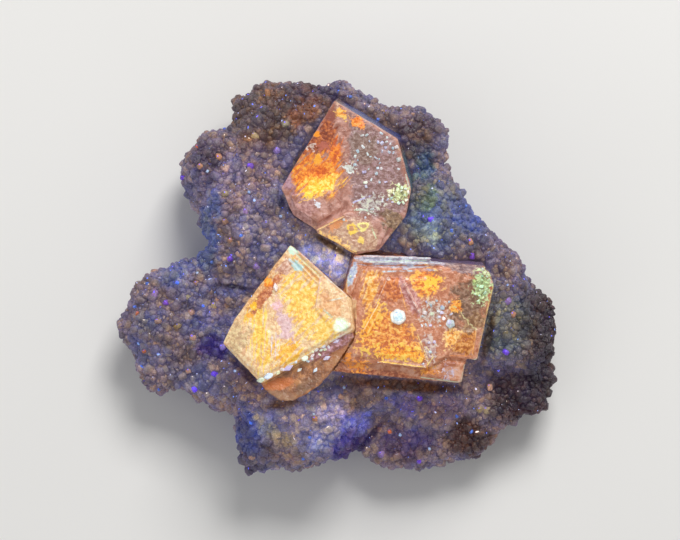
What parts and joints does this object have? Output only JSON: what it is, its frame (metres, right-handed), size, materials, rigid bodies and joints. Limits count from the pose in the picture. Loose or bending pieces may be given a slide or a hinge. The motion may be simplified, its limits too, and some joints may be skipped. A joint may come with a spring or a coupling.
{
  "type": "alunite crystal cluster",
  "caption": "Blocky, nearly cubic alunite rhombs rooted in a lobed rock plate that is crusted with fine crystal druse; lies on its flat back for display.",
  "frame": {"origin": "middle of the specimen's outline, on the flat back that it rests on", "axes": "+Z out of the crystal face, +X towards the right end and +Y towards the upper rhomb, as the specimen is looked down on"},
  "size_m": [0.0556, 0.0494, 0.0232],
  "materials": {
    "druse": "sugary crust of fine translucent crystals, mauve-grey with peach and violet grains",
    "rhomb_gold": "translucent, golden orange inside with clear pinkish edges, glossy growth-stepped faces",
    "rhomb_peach": "translucent, pinkish grey with a golden orange patch, glossy and dusted with tiny crystals"
  },
  "bodies": {
    "root": {"druse_matrix": "druse", "lower_rhomb_pair": "rhomb_gold", "upper_rhomb": "rhomb_peach"}
  },
  "joints": []
}
